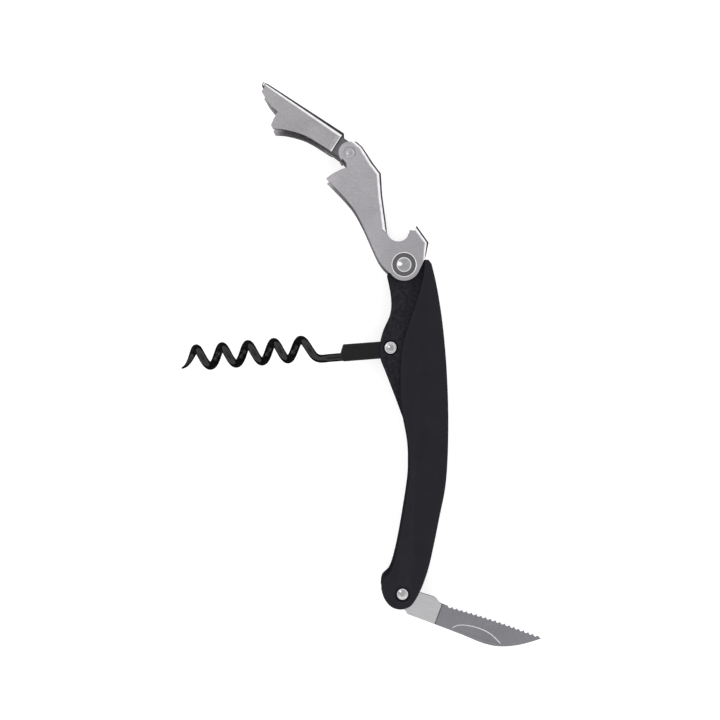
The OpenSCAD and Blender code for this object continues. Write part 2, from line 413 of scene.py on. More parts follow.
def apply_modifier(piece: Object, kind: str, **settings: object) -> None:
    """Adds one modifier to a piece and applies it.

    Args:
        piece: The piece.
        kind: Blender's name for the modifier.
        settings: The modifier's own settings.
    """
    pick(piece)
    modifier = piece.modifiers.new(kind.title(), kind)
    for key, value in settings.items():
        setattr(modifier, key, value)
    bpy.ops.object.modifier_apply(modifier=modifier.name)


def combine(piece: Object, tool: Object, how: str = "DIFFERENCE") -> None:
    """Cuts, joins or trims a piece with a tool, and throws the tool away.

    Args:
        piece: The piece that stays.
        tool: The closed mesh that it is combined with.
        how: DIFFERENCE, UNION or INTERSECT.
    """
    apply_modifier(piece, "BOOLEAN", operation=how, object=tool, solver="EXACT")
    bpy.data.objects.remove(tool)


def mirrored(piece: Object, name: str) -> Object:
    """A copy of a piece on the other side of the middle plane, with its own mesh.

    Args:
        piece: The piece to copy.
        name: The copy's name.

    Returns:
        The copy.
    """
    pick(piece)
    bpy.ops.object.duplicate(linked=False)
    copy = bpy.context.object
    copy.name = name
    copy.scale.z = -1
    bpy.ops.object.transform_apply(scale=True)
    edit("FACE")
    close_up()
    return copy


def ease(piece: Object, width: float, segments: int = 2) -> None:
    """Breaks every sharp edge of a piece with a small round.

    Args:
        piece: The piece.
        width: Width of the round, in mm.
        segments: Number of flats in the round.
    """
    apply_modifier(piece, "BEVEL", width=width, segments=segments, limit_method="ANGLE",
                   angle_limit=EASE_ANGLE, use_clamp_overlap=True)


def smooth(piece: Object) -> None:
    """Shades a piece smooth, with its flats kept flat and its sharp edges sharp."""
    pick(piece)
    bpy.ops.object.shade_smooth_by_angle(angle=SMOOTH_ANGLE)
    apply_modifier(piece, "WEIGHTED_NORMAL", keep_sharp=True, weight=80)


# ---------------------------------------------------------------------------
# Finishes
# ---------------------------------------------------------------------------

class Nodes:
    """A material's node tree, with short calls to add and join nodes."""

    def __init__(self, name: str) -> None:
        """Starts a material with a shader and its output.

        Args:
            name: The material's name.
        """
        self.material = bpy.data.materials.new(name)
        self.material.use_nodes = True
        self.tree = self.material.node_tree
        self.shader = self.tree.nodes["Principled BSDF"]
        coordinates = self.tree.nodes.new("ShaderNodeTexCoord")
        self.place = coordinates.outputs["Object"]

    def set(self, **values: object) -> None:
        """Sets the shader's own sockets to values that hold all over.

        Args:
            values: The values by socket, with underscores for the spaces in its name.
        """
        for key, value in values.items():
            self.shader.inputs[key.replace("_", " ")].default_value = value

    def add(self, kind: str, **values: object) -> bpy.types.Node:
        """Adds a node and sets its properties.

        Args:
            kind: The node's type, without its ShaderNode prefix.
            values: The node's properties.

        Returns:
            The node.
        """
        node = self.tree.nodes.new("ShaderNode" + kind)
        for key, value in values.items():
            setattr(node, key, value)
        return node

    def link(self, source: Socket, target: Socket) -> None:
        """Joins two sockets."""
        self.tree.links.new(source, target)

    def noise(self, scale: float, detail: float = 4.0, rough: float = 0.6, turn: float = 0.0,
              stretch: tuple[float, float, float] = (1.0, 1.0, 1.0)) -> Socket:
        """A noise pattern on the piece's own place.

        Args:
            scale: Waves in a metre.
            detail: Number of finer octaves.
            rough: Strength of the finer octaves.
            turn: Turn of the pattern about Z, in radians.
            stretch: How much finer the pattern is along each axis.

        Returns:
            The socket that gives 0 to 1.
        """
        mapping = self.add("Mapping", vector_type="TEXTURE")
        mapping.inputs["Rotation"].default_value = (0, 0, turn)
        mapping.inputs["Scale"].default_value = tuple(1 / s for s in stretch)
        self.link(self.place, mapping.inputs["Vector"])
        texture = self.add("TexNoise")
        texture.inputs["Scale"].default_value = scale
        texture.inputs["Detail"].default_value = detail
        texture.inputs["Roughness"].default_value = rough
        self.link(mapping.outputs["Vector"], texture.inputs["Vector"])
        return texture.outputs["Fac"]

    def between(self, source: Socket, low: float, high: float,
                start: float = 0.3, end: float = 0.7) -> Socket:
        """Maps a pattern from its range start to end onto low to high.

        Args:
            source: The pattern.
            low: Value at the start of the range.
            high: Value at its end.
            start: Where the pattern's range starts.
            end: Where it ends.

        Returns:
            The socket that gives the value.
        """
        ramp = self.add("MapRange")
        for key, value in (("From Min", start), ("From Max", end), ("To Min", low), ("To Max", high)):
            ramp.inputs[key].default_value = value
        self.link(source, ramp.inputs["Value"])
        return ramp.outputs["Result"]

    def tint(self, source: Socket, dark: Colour, light: Colour,
             start: float = 0.3, end: float = 0.7) -> Socket:
        """Maps a pattern onto two colours.

        Args:
            source: The pattern.
            dark: Colour at the start of the pattern's range.
            light: Colour at its end.
            start: Where the range starts.
            end: Where it ends.

        Returns:
            The socket that gives the colour.
        """
        ramp = self.add("ValToRGB")
        for element, place, shade in zip(ramp.color_ramp.elements, (start, end), (dark, light)):
            element.position = place
            element.color = shade
        self.link(source, ramp.inputs["Fac"])
        return ramp.outputs["Color"]

    def edge_wear_and_sheen_mask(self, strength: float) -> Socket:
        """A mask that is 1 along the piece's outer edges, for the polish of hands and for a painted edge
        sheen.

        Args:
            strength: How strong the mask gets.

        Returns:
            The socket that gives 0 to strength.
        """
        geometry = self.add("NewGeometry")
        edge = self.between(geometry.outputs["Pointiness"], 0.0, strength, 0.52, 0.60)
        patches = self.between(self.noise(900, 5), 0.25, 1.0, 0.35, 0.65)
        product = self.add("Math", operation="MULTIPLY")
        self.link(edge, product.inputs[0])
        self.link(patches, product.inputs[1])
        return product.outputs["Value"]

    def blend(self, mask: Socket, base: Socket,
              over: Colour) -> Socket:
        """Lays a colour over another by a mask.

        Args:
            mask: 0 where the base shows, 1 where the other colour does.
            base: The colour underneath.
            over: The colour on top.

        Returns:
            The socket that gives the colour.
        """
        mix = self.add("Mix", data_type="RGBA")
        self.link(mask, mix.inputs["Factor"])
        self.link(base, mix.inputs[MIX_BASE])
        mix.inputs[MIX_OVER].default_value = over
        return mix.outputs[MIX_RESULT]

    def total(self, a: Socket, b: Socket) -> Socket:
        """Adds two values.

        Args:
            a: One value.
            b: The other.

        Returns:
            The socket that gives their sum.
        """
        node = self.add("Math", operation="ADD")
        self.link(a, node.inputs[0])
        self.link(b, node.inputs[1])
        return node.outputs["Value"]

    def colour(self, source: Socket) -> None:
        """Gives the shader its colour."""
        self.link(source, self.shader.inputs["Base Color"])

    def roughness(self, source: Socket) -> None:
        """Gives the shader its roughness."""
        self.link(source, self.shader.inputs["Roughness"])

    def bump(self, source: Socket, height: float, strength: float = 1.0) -> None:
        """Raises the surface by a pattern.

        Args:
            source: The pattern.
            height: Depth of the relief, in metres.
            strength: How much of it shows.
        """
        node = self.add("Bump")
        node.inputs["Distance"].default_value = height
        node.inputs["Strength"].default_value = strength
        self.link(source, node.inputs["Height"])
        self.link(node.outputs["Normal"], self.shader.inputs["Normal"])


@dataclass(frozen=True)
class Coating:
    """A dark coating or moulding: a faintly cloudy colour over a fine grain.

    Attributes:
        dark: Darkest colour of the cloud.
        light: Its lightest colour.
        specular: Strength of the reflections.
        gloss: Roughness in the cloud's dark and light patches.
        cloud: Waves in a metre and octaves of the cloud.
        grain: Waves in a metre, octaves and roughness of the grain.
        relief: The grain's depth in metres, and how much of it shows.
        wear_and_sheen_colour: Lighter colour painted along the edges, for rubbing and for a painted edge
            sheen, where there is any.
        wear_and_sheen_strength: How strongly the edges take that colour.
    """

    dark: Colour
    light: Colour
    specular: float
    gloss: tuple[float, float]
    cloud: tuple[float, float]
    grain: tuple[float, float, float]
    relief: tuple[float, float]
    wear_and_sheen_colour: Colour | None = None
    wear_and_sheen_strength: float = 0.0

    def shine(self, nodes: Nodes, cloud: Socket) -> Socket:
        """Works the roughness out from the cloud, and returns its socket."""
        return nodes.between(cloud, *self.gloss)

    def make(self, name: str) -> Material:
        """Builds the material.

        Args:
            name: Its name.

        Returns:
            The material.
        """
        nodes = Nodes(name)
        nodes.set(Specular_IOR_Level=self.specular)
        cloud = nodes.noise(*self.cloud)
        colour = nodes.tint(cloud, self.dark, self.light)
        # Edges painted lighter: rubbing on the black steel, rubbing and a painted edge highlight on the
        # soft-touch scales
        if self.wear_and_sheen_colour:
            colour = nodes.blend(nodes.edge_wear_and_sheen_mask(self.wear_and_sheen_strength), colour, self.wear_and_sheen_colour)
        nodes.colour(colour)
        nodes.roughness(self.shine(nodes, cloud))
        nodes.bump(nodes.noise(*self.grain), *self.relief)
        return nodes.material


@dataclass(frozen=True)
class SoftTouch(Coating):
    """Soft-touch black: matt and finely pebbled, with flecks of gloss and a faint sheen; its edges are
    painted lighter, partly for rubbing and partly as a painted edge highlight.
    """

    dark: Colour = (0.0046, 0.0044, 0.0070, 1.0)
    light: Colour = (0.0068, 0.0065, 0.0096, 1.0)
    specular: float = 0.16
    gloss: tuple[float, float] = (0.50, 0.60)
    cloud: tuple[float, float] = (140, 3)
    grain: tuple[float, float, float] = (5200, 3, 0.5)
    relief: tuple[float, float] = (0.00004, 0.35)
    # Edge colour: partly rubbing, partly a painted edge highlight
    wear_and_sheen_colour: Colour | None = (0.030, 0.030, 0.034, 1.0)
    wear_and_sheen_strength: float = 0.55
    sheen: float = 0.02
    sheen_rough: float = 0.5
    flecks: tuple[float, float] = (4000, 2)
    fleck_gloss: float = 0.03

    def shine(self, nodes: Nodes, cloud: Socket) -> Socket:
        """Adds the sheen, and the flecks to the roughness.

        Args:
            nodes: The material's nodes.
            cloud: The cloud pattern.

        Returns:
            The socket that gives the roughness.
        """
        nodes.set(Sheen_Weight=self.sheen, Sheen_Roughness=self.sheen_rough)
        flecks = nodes.between(nodes.noise(*self.flecks), -self.fleck_gloss, self.fleck_gloss)
        return nodes.total(super().shine(nodes, cloud), flecks)


@dataclass(frozen=True)
class BlackSteel(Coating):
    """Thin matt black coating on a steel plate, abraded through a little along the edges."""

    dark: Colour = (0.0036, 0.0034, 0.0062, 1.0)
    light: Colour = (0.0046, 0.0044, 0.0074, 1.0)
    specular: float = 0.06
    gloss: tuple[float, float] = (0.44, 0.50)
    cloud: tuple[float, float] = (220, 4)
    grain: tuple[float, float, float] = (7500, 3, 0.5)
    relief: tuple[float, float] = (0.00002, 0.3)
    wear_and_sheen_colour: Colour | None = (0.10, 0.10, 0.105, 1.0)
    wear_and_sheen_strength: float = 0.5


@dataclass(frozen=True)
class GlossCoat(Coating):
    """Glossy black non-stick coating, slightly uneven as it is dipped."""

    dark: Colour = (0.0010, 0.0010, 0.0014, 1.0)
    light: Colour = (0.0026, 0.0026, 0.0034, 1.0)
    specular: float = 0.32
    gloss: tuple[float, float] = (0.09, 0.18)
    cloud: tuple[float, float] = (500, 4)
    grain: tuple[float, float, float] = (1800, 2, 0.5)
    relief: tuple[float, float] = (0.00003, 0.25)


@dataclass(frozen=True)
class Nylon(Coating):
    """Moulded black nylon with a spark-eroded grain."""

    dark: Colour = (0.012, 0.012, 0.013, 1.0)
    light: Colour = (0.020, 0.020, 0.021, 1.0)
    specular: float = 0.4
    gloss: tuple[float, float] = (0.45, 0.62)
    cloud: tuple[float, float] = (600, 4)
    grain: tuple[float, float, float] = (6000, 3, 0.6)
    relief: tuple[float, float] = (0.00004, 0.35)


@dataclass(frozen=True)
class BrushedSteel:
    """Brushed stainless sheet: long fine scratches one way, with faint cloudy patches.

    Attributes:
        turn: Direction of the scratches, in degrees.
        dark: Colour in the scratches.
        light: Colour between them.
        gloss: Roughness between the scratches and in them.
        grain: Waves in a metre, octaves and stretch of the long scratches.
        fine: The same of the fine ones.
        rough: Roughness of both patterns.
        share: How much of the pattern is long scratches.
        cloud: Waves in a metre and octaves of the patches.
        patches: What the patches take from the roughness and add to it.
        relief: The scratches' depth in metres, and how much of it shows.
        anisotropy: How far reflections are drawn out across the scratches.
    """

    turn: float
    dark: Colour = (0.38, 0.365, 0.385, 1.0)
    light: Colour = (0.54, 0.52, 0.545, 1.0)
    gloss: tuple[float, float] = (0.17, 0.27)
    grain: tuple[float, float, tuple[float, float, float]] = (260, 6, (1.0, 26.0, 8.0))
    fine: tuple[float, float, tuple[float, float, float]] = (900, 4, (1.0, 18.0, 6.0))
    rough: float = 0.7
    share: float = 0.6
    cloud: tuple[float, float] = (90, 3)
    patches: tuple[float, float] = (-0.03, 0.05)
    relief: tuple[float, float] = (0.000012, 0.5)
    anisotropy: float = 0.35

    def make(self, name: str) -> Material:
        """Builds the material.

        Args:
            name: Its name.

        Returns:
            The material.
        """
        nodes = Nodes(name)
        nodes.set(Metallic=1.0, Anisotropic=self.anisotropy)
        layers = []
        for (waves, octaves, stretch), share in ((self.grain, self.share), (self.fine, 1 - self.share)):
            pattern = nodes.noise(waves, octaves, self.rough, math.radians(self.turn), stretch)
            layers.append(nodes.between(pattern, 0.0, share))
        both = nodes.total(*layers)
        cloud = nodes.noise(*self.cloud)
        nodes.colour(nodes.tint(both, self.dark, self.light, 0.15, 0.85))
        shine = nodes.between(both, self.gloss[1], self.gloss[0], 0.1, 0.9)
        nodes.roughness(nodes.total(shine, nodes.between(cloud, *self.patches)))
        nodes.bump(both, *self.relief)
        return nodes.material


@dataclass(frozen=True)
class PolishedSteel:
    """Polished steel with hairline marks and a faint burnish."""

    dark: Colour = (0.42, 0.415, 0.42, 1.0)
    light: Colour = (0.56, 0.555, 0.56, 1.0)
    gloss: tuple[float, float] = (0.07, 0.16)
    cloud: tuple[float, float] = (700, 4)
    hair: tuple[float, float, float, float, tuple[float, float, float]] = (
        1200, 5, 0.7, 0.7, (1.0, 14.0, 5.0))
    relief: tuple[float, float] = (0.000006, 0.3)

    def make(self, name: str) -> Material:
        """Builds the material.

        Args:
            name: Its name.

        Returns:
            The material.
        """
        nodes = Nodes(name)
        nodes.set(Metallic=1.0)
        hair = nodes.noise(*self.hair)
        nodes.colour(nodes.tint(nodes.noise(*self.cloud), self.dark, self.light))
        nodes.roughness(nodes.between(hair, *self.gloss))
        nodes.bump(hair, *self.relief)
        return nodes.material


# ---------------------------------------------------------------------------
# The tool's shared sizes, in mm from its middle plane
# ---------------------------------------------------------------------------

@dataclass(frozen=True)
class Stack:
    """Heights of the sheets that the tool is stacked from."""

    half: float = 7.0
    sheet: float = 1.2
    liner_out: float = 5.4
    liner_in: float = 4.6

    @property
    def cheek_in(self) -> float:
        """Inner face of a lever's cheek."""
        return self.half - self.sheet


@dataclass(frozen=True)
class Seat:
    """Where a piece's own axes sit in the frame.

    Attributes:
        pivot: Place of the piece's pivot on the tool's middle plane, in metres.
        angle: Turn about the vertical, in degrees.
    """

    pivot: Vector
    angle: float = 0.0

    def hold(self, piece: Object) -> None:
        """Sets a piece, modelled in mm, into the frame and applies its place to the mesh.

        Args:
            piece: The piece, in its own axes.
        """
        pick(piece)
        piece.location = self.pivot
        piece.rotation_euler = (0, 0, math.radians(self.angle))
        piece.scale = (MM, MM, MM)
        bpy.ops.object.transform_apply(location=True, rotation=True, scale=True)


def install(piece: Object, seat: Seat, body: str, slot: Slot,
            materials: Sequence[Material], *nodes: str) -> Object:
    """Smooths a finished piece, sets it in place and ties it to the frame.

    Args:
        piece: The piece, in its own axes.
        seat: Where it goes.
        body: The CAD body it moves with.
        slot: The record's slot of its main finish; not used.
        materials: Its materials; faces without a choice of their own take the first.
        nodes: The CAD nodes it stands for.

    Returns:
        The piece.
    """
    while len(piece.data.materials) < len(materials):
        piece.data.materials.append(None)
    for index, material in enumerate(materials):
        piece.data.materials[index] = material
    smooth(piece)
    seat.hold(piece)
    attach(piece, body)
    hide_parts(*nodes)
    LOG.info("%s: %d faces, rides %s, stands for %s", piece.name, len(piece.data.polygons), body, nodes)
    return piece


def paint(piece: Object, index: int, wanted: Callable[[Vector, Vector], bool]) -> None:
    """Gives some faces of a piece one of its further materials.

    Args:
        piece: The piece, in its own axes.
        index: The material's place in the piece's list.
        wanted: Test of a face's centre and normal.
    """
    pick(piece)
    while len(piece.data.materials) <= index:
        piece.data.materials.append(None)
    edit("FACE")
    choose("faces", wanted)
    piece.active_material_index = index
    bpy.ops.object.material_slot_assign()
    leave_edit()


def is_bend(_: Vector, normal: Vector) -> bool:
    """Whether a face belongs to a bend or an eased edge: neither level nor upright."""
    return BEND_LIMITS[0] < abs(normal.z) < BEND_LIMITS[1]


def runs_flat(direction: Vector) -> bool:
    """Whether an edge runs along the sheet, not through it."""
    return abs(direction.z) < SLOPED


def on_level(place: Vector, height: float) -> bool:
    """Whether a place lies at a height above or below the middle plane, in mm."""
    return abs(abs(place.z) - height) < WELD


def bore(piece: Object, radius: float, low: float, high: float,
         centre: Point = (0.0, 0.0)) -> None:
    """Drills or sinks a round hole into a piece.

    Args:
        piece: The piece.
        radius: The hole's radius, in mm.
        low: Height of the hole's lower end, in mm.
        high: Height of its upper end, in mm.
        centre: The hole's axis, in mm.
    """
    deselect()
    bpy.ops.mesh.primitive_cylinder_add(vertices=72, radius=radius, depth=high - low,
                                        location=(*centre, (low + high) / 2))
    combine(piece, bpy.context.object)


def both_bores(piece: Object, radius: float, depth_from: float, top: float,
               centre: Point = (0.0, 0.0)) -> None:
    """Sinks the same hole into both faces of a piece, from a height outwards."""
    bore(piece, radius, depth_from, top, centre)
    bore(piece, radius, -top, -depth_from, centre)


@dataclass
class Assembly:
    """A part of the tool, with the frame and the finishes that it draws on.

    Attributes:
        pivots: Each joint's place, in metres.
        finishes: The materials by slot.
        details: The materials of some faces only.
        stack: The shared heights.
    """

    pivots: dict[str, Vector]
    finishes: dict[Slot, Material]
    details: dict[Detail, Material]
    stack: Stack = field(default_factory=Stack)

    @property
    def middle(self) -> Seat:
        """A seat on the frame's own axes, at the middle plane."""
        return Seat(Vector((0, 0, self.pivots["lever_swing"].z)))

    def spot(self, joint: str) -> Point:
        """A joint's place in mm, for pieces modelled in the frame's own axes."""
        return self.pivots[joint].x / MM, self.pivots[joint].y / MM

    def drill(self, piece: Object, radius: float, centre: Point = (0.0, 0.0)) -> None:
        """Drills a hole of a radius, in mm, right through a piece."""
        bore(piece, radius, -self.stack.half - PAST, self.stack.half + PAST, centre)


# ---------------------------------------------------------------------------
# Handle
# ---------------------------------------------------------------------------

@dataclass
class Handle(Assembly):
    """Two black liner plates with a soft-touch scale on each, and what they hold between them."""

    neck_front: tuple[Point, ...] = (
        (8.7, 28.2), (10.0, 21.5), (9.8, 16.0), (7.5, 10.5), (6.4, 6.0), (6.5, 1.8), (8.4, -3.3),
        (11.6, -11.6), (13.9, -17.9))
    grip_front: tuple[Point, ...] = (
        (13.9, -17.9), (15.2, -25.0), (15.5, -31.5), (15.0, -39.0), (12.2, -55.9), (9.8, -65.2),
        (7.2, -68.3), (6.7, -71.2))
    grip_end: tuple[Point, ...] = (
        (6.7, -71.2), (7.6, -74.2), (9.8, -76.9), (12.9, -77.8), (16.0, -76.7), (18.2, -73.6))
    grip_back: tuple[Point, ...] = (
        (18.2, -73.6), (20.2, -69.1), (22.2, -62.5), (25.0, -49.0), (27.2, -37.0), (27.9, -20.0),
        (27.4, -2.6), (26.1, 12.3), (24.3, 24.0), (22.6, 31.4))
    grip_top: tuple[Point, ...] = ((21.7, 32.6), (20.4, 32.7))
    ridge: tuple[Point, ...] = (
        (20.3, 32.2), (19.9, 27.2), (18.1, 20.5), (14.6, 10.0), (13.1, 3.4), (12.7, -5.8),
        (13.0, -13.0), (13.9, -17.9))
    liner_head_r: float = 4.7
    liner_head_sweep: float = 195.0
    edge_r: float = 0.8
    knife_dish_r: float = 2.5
    knife_seat: float = 6.3
    small_bore_r: float = 1.42
    lever_bore_r: float = 1.82
    worm_dish_r: float = 2.4
    worm_seat: float = 5.0
    scale_break: float = 0.1
    liner_break: float = 0.14

    def grip(self) -> list[Point]:
        """The edge that scales and liners share, from the neck round the end to the top."""
        return (curve(self.grip_front)[1:] + curve(self.grip_end)[1:] + curve(self.grip_back)[1:]
                + list(self.grip_top))

    def scale(self) -> Object:
        """The front scale: its outer edge is rolled over and the knife's rivet sits in a dish.

        Returns:
            The scale, in the frame's own axes.
        """
        top, knife = self.stack.half, self.spot("knife_fold")
        piece = plate("scale_front", curve(self.ridge) + self.grip(), self.stack.liner_out, top)
        round_edges(piece, lambda p, d: on_level(p, top) and runs_flat(d), self.edge_r, 4)
        self.drill(piece, self.small_bore_r, knife)
        bore(piece, self.knife_dish_r, self.knife_seat, top + PAST, knife)
        ease(piece, self.scale_break)
        return piece

    def liner(self) -> Object:
        """The front liner, with its bores and the sunk seat of the worm's rivet.

        Returns:
            The liner, in the frame's own axes.
        """
        low, high = self.stack.liner_in, self.stack.liner_out
        head = arc(self.spot("lever_swing"), self.liner_head_r, 0, self.liner_head_sweep)
        piece = plate("liner_front", head + curve(self.neck_front) + self.grip(), low, high)
        self.drill(piece, self.lever_bore_r, self.spot("lever_swing"))
        self.drill(piece, self.small_bore_r, self.spot("worm_fold"))
        bore(piece, self.worm_dish_r, self.worm_seat, high + PAST, self.spot("worm_fold"))
        self.drill(piece, self.small_bore_r, self.spot("knife_fold"))
        ease(piece, self.liner_break)
        return piece

    def build(self) -> None:
        """Builds and fits both sides; the rear ones mirror the front ones."""
        sheets = ((self.scale(), Slot.SOFT_TOUCH, "scale"), (self.liner(), Slot.BLACK_STEEL, "liner"))
        for front, slot, kind in sheets:
            rear = mirrored(front, f"{kind}_rear")
            for piece, side in ((front, "front"), (rear, "rear")):
                install(piece, self.middle, "handle", slot, [self.finishes[slot]], f"{side}_{kind}")


@dataclass(frozen=True)
class RivetSize:
    """Sizes of one rivet: shank radius, head radius, height of the seat and of the crown."""

    shank_r: float
    head_r: float
    seat: float
    top: float
    rim: float = 0.05
    crown: float = 0.72
    crown_rise: float = 0.32
    dome_steps: int = 10
    fall_steps: int = 8

    def profile(self) -> list[Point]:
        """The turned outline.

        Returns:
            Radius and height pairs, from the lower crown to the upper one.
        """
        height = self.top - self.seat
        crown_r, rise = self.head_r * self.crown, height * self.crown_rise
        dome_r = (crown_r ** 2 + rise ** 2) / (2 * rise)
        sweep = math.degrees(math.asin(crown_r / dome_r))
        dome = arc((0, self.top - dome_r), dome_r, 90, 90 - sweep, self.dome_steps)
        # Below the crown the head falls away along a quarter of an ellipse
        wide, deep = self.head_r - crown_r, height - rise - self.rim
        turns = (math.pi / 2 * i / self.fall_steps for i in range(1, self.fall_steps + 1))
        soft = [(crown_r + wide * math.sin(a), self.top - rise - deep * (1 - math.cos(a)))
                for a in turns] + [(self.head_r, self.seat)]
        upper = dome + soft + [(self.shank_r, self.seat)]
        return [(max(r, 0.0), -z) for r, z in upper] + [(max(r, 0.0), z) for r, z in reversed(upper)]


@dataclass
class Rivets(Assembly):
    """The three domed rivets and the flush pin of the levers' hinge."""

    lever: RivetSize = RivetSize(1.8, 2.4, 6.45, 6.95)
    worm: RivetSize = RivetSize(1.4, 2.0, 5.0, 5.7)
    knife: RivetSize = RivetSize(1.4, 1.9, 6.3, 6.95)
    pin_r: float = 1.5
    pin_head_r: float = 1.88
    pin_head_t: float = 0.5
    pin_edge: float = 0.12
    pin_face: tuple[Point, ...] = (
        (0.0, -0.04), (0.75, -0.02), (1.0, -0.10), (1.2, -0.10), (1.42, -0.01), (1.76, -0.02))

    def pin(self) -> Object:
        """The hinge pin: its flush heads are peened, with a shallow ring struck into each.

        Returns:
            The pin, in its own axes.
        """
        top, head = self.stack.half, self.pin_head_r
        upper = [(r, top + z) for r, z in self.pin_face] + [
            (head, top - self.pin_edge), (head, top - self.pin_head_t), (self.pin_r, top - self.pin_head_t)]
        return turned("pin_of_hinge", [(r, -z) for r, z in upper] + list(reversed(upper)))

    def build(self) -> None:
        """Builds and fits all four."""
        polished, steel = self.finishes[Slot.RIVET], self.finishes[Slot.LEVER_STEEL]
        for name, size, joint, node in (
                ("rivet_of_lever", self.lever, "lever_swing", "lever_rivet"),
                ("rivet_of_worm", self.worm, "worm_fold", "worm_rivet"),
                ("rivet_of_knife", self.knife, "knife_fold", "knife_rivet")):
            install(turned(name, size.profile()), Seat(self.pivots[joint]), "handle", Slot.RIVET,
                    [polished], node)
        install(self.pin(), Seat(self.pivots["boot_swing"]), "lever", Slot.LEVER_STEEL, [steel],
                "hinge_pin")


# ---------------------------------------------------------------------------
# Levers
# ---------------------------------------------------------------------------

@dataclass
class Channel(Assembly):
    """A lever bent from sheet: two cheeks joined by a spine, open on the other side."""

    bend_r: float = 1.6
    tight_bend_r: float = 1.5
    outer_steps: int = 10
    inner_steps: int = 6
    edge_break: float = 0.11
    angle: float = 0.0

    def shell(self, name: str, outline: Sequence[Point], inside: Sequence[Point],
              spines: Sequence[tuple[Sequence[Point], float]]) -> Object:
        """Bends the sheet: a block with rounded spine edges and the channel cut out of it.

        Args:
            name: The piece's name.
            outline: The cheeks' outline, in mm.
            inside: The channel's outline, which also passes wherever there is no spine.
            spines: Each line that the spine follows, with the radius of its bends.

        Returns:
            The shell.
        """
        half, cheek_in = self.stack.half, self.stack.cheek_in
        piece = plate(name, outline, -half, half)
        tool = plate("channel", inside, -cheek_in, cheek_in)
        for line, radius in spines:
            web = inset(line, self.stack.sheet)
            round_edges(piece, lambda p, d: on_level(p, half) and runs_flat(d) and near_line(p, line),
                        radius, self.outer_steps)
            round_edges(tool, lambda p, d: on_level(p, cheek_in) and runs_flat(d) and near_line(p, web),
                        radius - self.stack.sheet, self.inner_steps)
        combine(piece, tool)
        return piece


@dataclass
class MainLever(Channel):
    """The main lever, with a bottle-cap notch near its pivot and a lip step near its hinge."""

    angle: float = 116.0
    length: float = 39.2
    end_r: float = 5.1
    ear_r: float = 3.5
    notch_centre: Point = (10.6, -3.1)
    notch_r: float = 3.6
    spine_a: tuple[Point, ...] = (
        (11.0, 0.43), (12.4, -0.03), (22.9, -3.5), (29.1, -6.1), (33.1, -5.3), (36.8, -4.85))
    spine_b: tuple[Point, ...] = ((-0.4, -7.5), (2.9, -10.1), (9.4, -9.0))
    shoulder: tuple[Point, ...] = ((39.5, -4.5), (41.5, -3.6))
    web_from: Point = (14.3, -0.66)
    end_sweep: tuple[float, float] = (98.0, 217.0)
    ear_sweep: tuple[float, float] = (-25.0, 105.0)
    heel: Point = (-2.4, -5.2)
    toe: Point = (8.2, -7.6)
    step: tuple[Point, ...] = (
        (38.4, 2.75), (36.7, 2.4), (35.4, 2.8), (35.7, 4.9), (35.6, 8.0), (35.15, 10.2))
    belly: tuple[Point, ...] = ((35.15, 10.2), (24.4, 6.9), (16.5, 6.3), (4.8, 6.6), (-0.2, 5.4))
    # Corners outside the sheet, where the channel is open: at the pivot, the notch and the hinge
    open_end: tuple[Point, ...] = ((-9.0, 14.0), (-9.0, -9.0), (-1.6, -8.6))
    open_notch: tuple[Point, ...] = ((10.6, -10.2), (14.0, -2.6))
    open_hinge: tuple[Point, ...] = ((37.1, -7.0), (47.0, -7.0), (47.0, 14.0))
    dish_r: float = 3.6
    dish_seat: float = 6.4
    dish_round: float = 0.4
    bore_r: float = 1.85
    pin_head_r: float = 1.9

    def outline(self) -> list[Point]:
        """The cheeks' outline before the notch is punched out of it.

        Returns:
            The outline's corners.
        """
        return (arc((0, 0), self.end_r, *self.end_sweep) + [self.heel, *self.spine_b, self.toe]
                + [(self.spine_a[0][0], self.notch_centre[1]), *self.spine_a, *self.shoulder]
                + arc((self.length, 0), self.ear_r, *self.ear_sweep)
                + list(self.step) + curve(self.belly)[1:])

    def inside(self) -> list[Point]:
        """The channel's outline: along the spines' inner faces, and past everything else.

        Returns:
            The outline's corners.
        """
        web_a = (self.web_from, *self.spine_a[2:])
        sheet = self.stack.sheet
        return ([*self.open_end, self.spine_b[0]] + inset(self.spine_b, sheet)
                + [self.spine_b[-1], *self.open_notch, web_a[0]] + inset(web_a, sheet)
                + [web_a[-1], *self.open_hinge])

    def build(self) -> None:
        """Builds and fits the lever."""
        half = self.stack.half
        bend_a = (*self.spine_a, *self.shoulder)
        piece = self.shell("lever_main", self.outline(), self.inside(),
                           [(bend_a, self.bend_r), (self.spine_b, self.tight_bend_r)])
        self.drill(piece, self.notch_r, self.notch_centre)
        self.drill(piece, self.bore_r)
        both_bores(piece, self.dish_r, self.dish_seat, half + PAST)
        round_edges(piece, lambda p, d: on_level(p, half)
                    and abs(math.hypot(p.x, p.y) - self.dish_r) < NEAR / 2, self.dish_round, 4)
        self.drill(piece, self.pin_head_r, (self.length, 0))
        ease(piece, self.edge_break)
        # Painted shade: the dish floor round the rivet takes the dark recess steel
        paint(piece, 1, lambda p, n: abs(n.z) > LEVEL and math.hypot(p.x, p.y) < self.dish_r + NEAR
              and abs(abs(p.z) - self.dish_seat) < NEAR)
        # Painted highlight: the bends take a lighter steel, besides being glossier
        paint(piece, 2, is_bend)
        install(piece, Seat(self.pivots["lever_swing"], self.angle), "lever", Slot.LEVER_STEEL,
                [self.finishes[Slot.LEVER_STEEL], self.details[Detail.RECESS],
                 self.details[Detail.BEND]], "main_lever")


